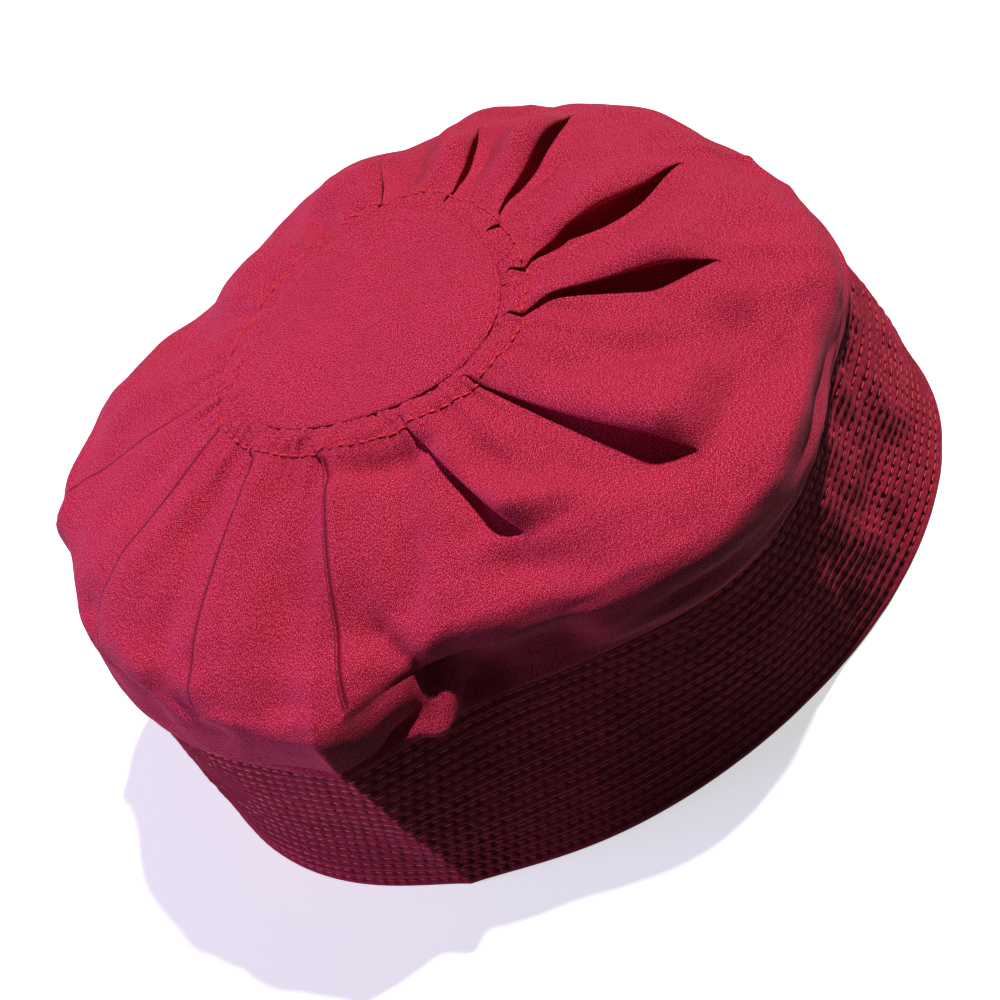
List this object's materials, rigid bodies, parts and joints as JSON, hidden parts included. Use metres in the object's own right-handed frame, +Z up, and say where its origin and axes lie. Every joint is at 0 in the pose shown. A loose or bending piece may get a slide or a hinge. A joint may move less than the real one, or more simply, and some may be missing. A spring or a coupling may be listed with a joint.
{
  "type": "kufi cap",
  "caption": "Round brimless cap of crimson cotton twill: a stiff row-stitched side band and a soft puffed crown pleated round a small centre piece.",
  "frame": {"origin": "below the middle of the cap's overall box, on the surface that its rim rests on", "axes": "+Z up out of the crown, +X along the head, +Y across it"},
  "size_m": [0.202, 0.1786, 0.097],
  "materials": {
    "band_cloth": "quilted cotton twill, matt",
    "crown_cloth": "cotton twill with a faint sheen",
    "disc_cloth": "cotton twill with a faint sheen"
  },
  "bodies": {
    "root": {"band": "band_cloth", "crown": "crown_cloth", "top_disc": "disc_cloth"}
  },
  "joints": []
}
